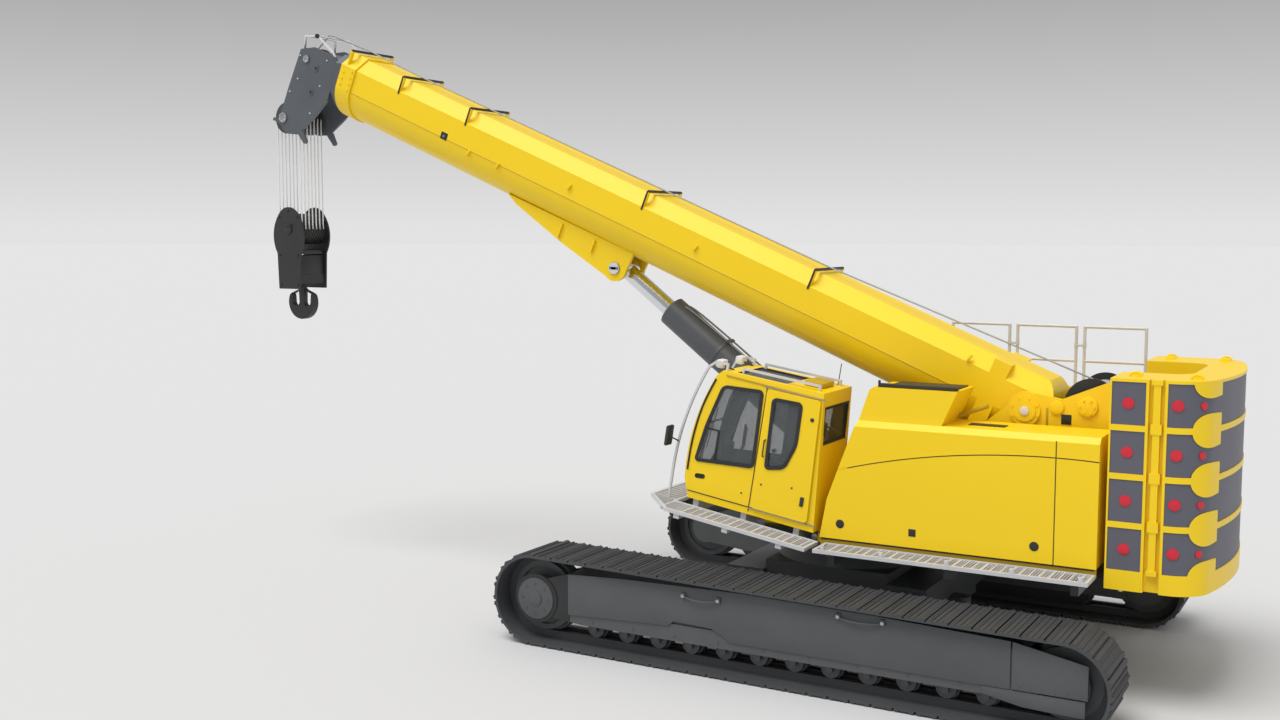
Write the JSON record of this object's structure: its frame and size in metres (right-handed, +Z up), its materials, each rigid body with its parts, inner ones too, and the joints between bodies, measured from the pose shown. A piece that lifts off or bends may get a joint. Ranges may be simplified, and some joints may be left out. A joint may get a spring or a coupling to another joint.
{
  "type": "telescopic crawler crane",
  "caption": "Crawler crane with a telescopic boom, tilting cab, slewing upper with slab counterweight, luffing cylinder and hook block, on extending tracks",
  "frame": {"origin": "on the ground under the slewing axis", "axes": "+X towards the boom's head, +Y to the crane's left where the cab is, +Z up"},
  "size_m": [15.0972, 5.7, 8.5912],
  "materials": {
    "yellow_paint": "gloss",
    "dark_grey_paint": "satin",
    "track_steel": "worn",
    "black_paint": "satin",
    "light_grey_paint": "satin",
    "galvanised": "dull",
    "chrome": "polished",
    "sheave_steel": "machined",
    "rope_steel": "greased",
    "hook_steel": "satin",
    "glass": "clear",
    "seat_fabric": "woven",
    "console_plastic": "matt",
    "pin_steel": "bare"
  },
  "bodies": {
    "undercarriage": {"carbody": "dark_grey_paint", "slew_ring": "pin_steel"},
    "left_crawler": {"left_track": "track_steel", "left_idler": "dark_grey_paint", "left_sprocket": "dark_grey_paint", "left_side_frame": "dark_grey_paint", "left_rollers": "dark_grey_paint"},
    "right_crawler": {"right_track": "track_steel", "right_idler": "dark_grey_paint", "right_sprocket": "dark_grey_paint", "right_side_frame": "dark_grey_paint", "right_rollers": "dark_grey_paint"},
    "upper": {"upper_frame": "black_paint", "boom_plates": "yellow_paint", "cylinder_ears": "black_paint", "boom_pivot_pin": "pin_steel", "left_hood": "yellow_paint", "right_hood": "yellow_paint", "left_hood_tower": "black_paint", "engine": "black_paint", "left_walkway": "galvanised", "right_walkway": "galvanised", "handrails": "galvanised", "counterweight_base": "yellow_paint", "counterweight_slab_1": "yellow_paint", "counterweight_slab_2": "yellow_paint", "counterweight_slab_3": "yellow_paint", "counterweight_slab_4": "yellow_paint", "counterweight_carrier": "black_paint"},
    "winch": {"hoist_winch": "black_paint"},
    "cab": {"cab_shell": "yellow_paint", "cab_side_glass": "glass", "windscreen": "glass", "cab_platform": "black_paint", "cab_seat": "seat_fabric", "cab_console": "console_plastic", "cab_hinge_pin": "pin_steel"},
    "door": {"cab_door": "yellow_paint", "door_glass": "glass"},
    "boom": {"boom_base": "yellow_paint"},
    "section_2": {"boom_section_2": "yellow_paint"},
    "section_3": {"boom_section_3": "yellow_paint"},
    "tip": {"boom_tip": "dark_grey_paint"},
    "head_sheave_row": {"head_sheaves": "sheave_steel"},
    "top_sheave_wheel": {"top_sheave": "sheave_steel"},
    "cylinder_rod": {"luff_rod": "chrome"},
    "cylinder_barrel": {"luff_barrel": "black_paint"},
    "falls": {"hoist_ropes": "rope_steel"},
    "block": {"hook_block": "yellow_paint"},
    "block_sheave_row": {"block_sheaves": "sheave_steel"},
    "swivel_hook": {"hook": "hook_steel"}
  },
  "joints": [
    {"name": "left_gauge", "type": "slide", "parent": "undercarriage", "child": "left_crawler", "axis": [0, 1, 0], "range_m": [-0.8, 0]},
    {"name": "right_gauge", "type": "slide", "parent": "undercarriage", "child": "right_crawler", "axis": [0, -1, 0], "range_m": [-0.8, 0]},
    {"name": "slew", "type": "hinge", "parent": "undercarriage", "child": "upper", "pos_m": [0, 0, 1.3], "axis": [0, 0, 1], "continuous": true},
    {"name": "winch_drum", "type": "hinge", "parent": "upper", "child": "winch", "pos_m": [-3.16, 0, 3.33], "axis": [0, 1, 0], "continuous": true},
    {"name": "cab_tilt", "type": "hinge", "parent": "upper", "child": "cab", "pos_m": [-0.06, 1.14, 1.59], "axis": [0, -1, 0], "range_deg": [-9, 11]},
    {"name": "door_slide", "type": "slide", "parent": "cab", "child": "door", "axis": [-0.9877, 0, -0.1564], "range_m": [0, 0.62]},
    {"name": "luff", "type": "hinge", "parent": "upper", "child": "boom", "pos_m": [-2.42, 0, 3.24], "axis": [0, -1, 0], "range_deg": [-22.7, 57.3]},
    {"name": "telescope", "type": "slide", "parent": "boom", "child": "tip", "axis": [0.9225, 0, 0.3859], "range_m": [0, 27.39]},
    {"name": "section_2_slide", "type": "slide", "parent": "boom", "child": "section_2", "axis": [0.9225, 0, 0.3859], "range_m": [-0.001, 9.131]},
    {"name": "section_3_slide", "type": "slide", "parent": "boom", "child": "section_3", "axis": [0.9225, 0, 0.3859], "range_m": [-0.001, 18.261]},
    {"name": "head_sheave_spin", "type": "hinge", "parent": "tip", "child": "head_sheave_row", "pos_m": [9.95975, 0, 7.2804], "axis": [0, 1, 0], "continuous": true},
    {"name": "top_sheave_spin", "type": "hinge", "parent": "tip", "child": "top_sheave_wheel", "pos_m": [9.4123, 0, 8.2004], "axis": [0, 1, 0], "continuous": true},
    {"name": "rod_pivot", "type": "hinge", "parent": "boom", "child": "cylinder_rod", "pos_m": [3.61618, 0, 4.87614], "axis": [0, -1, 0], "range_deg": [-2, 1]},
    {"name": "cylinder_stroke", "type": "slide", "parent": "cylinder_rod", "child": "cylinder_barrel", "axis": [-0.7948, 0, -0.6069], "range_m": [-0.8125, 2.0505]},
    {"name": "falls_swing", "type": "hinge", "parent": "tip", "child": "falls", "pos_m": [9.95975, 0, 7.2804], "axis": [0, -1, 0], "range_deg": [-57.4, 22.8]},
    {"name": "hoist", "type": "slide", "parent": "falls", "child": "block", "axis": [0, 0, -1], "range_m": [-1.1, 3.9], "deforming": ["hoist_ropes"]},
    {"name": "block_sheave_spin", "type": "hinge", "parent": "block", "child": "block_sheave_row", "pos_m": [9.95975, 0, 5.44], "axis": [0, 1, 0], "continuous": true},
    {"name": "hook_swivel", "type": "hinge", "parent": "block", "child": "swivel_hook", "pos_m": [9.95975, 0, 4.44], "axis": [0, 0, 1], "continuous": true}
  ],
  "couplings": [
    {"joint": "section_2_slide", "follows": "telescope", "ratio": 0.33333},
    {"joint": "section_3_slide", "follows": "telescope", "ratio": 0.66667},
    {"joint": "rod_pivot", "follows": "luff", "ratio": -0.03},
    {"joint": "cylinder_stroke", "follows": "luff", "m_per_rad": 2.05},
    {"joint": "falls_swing", "follows": "luff", "ratio": -1}
  ]
}
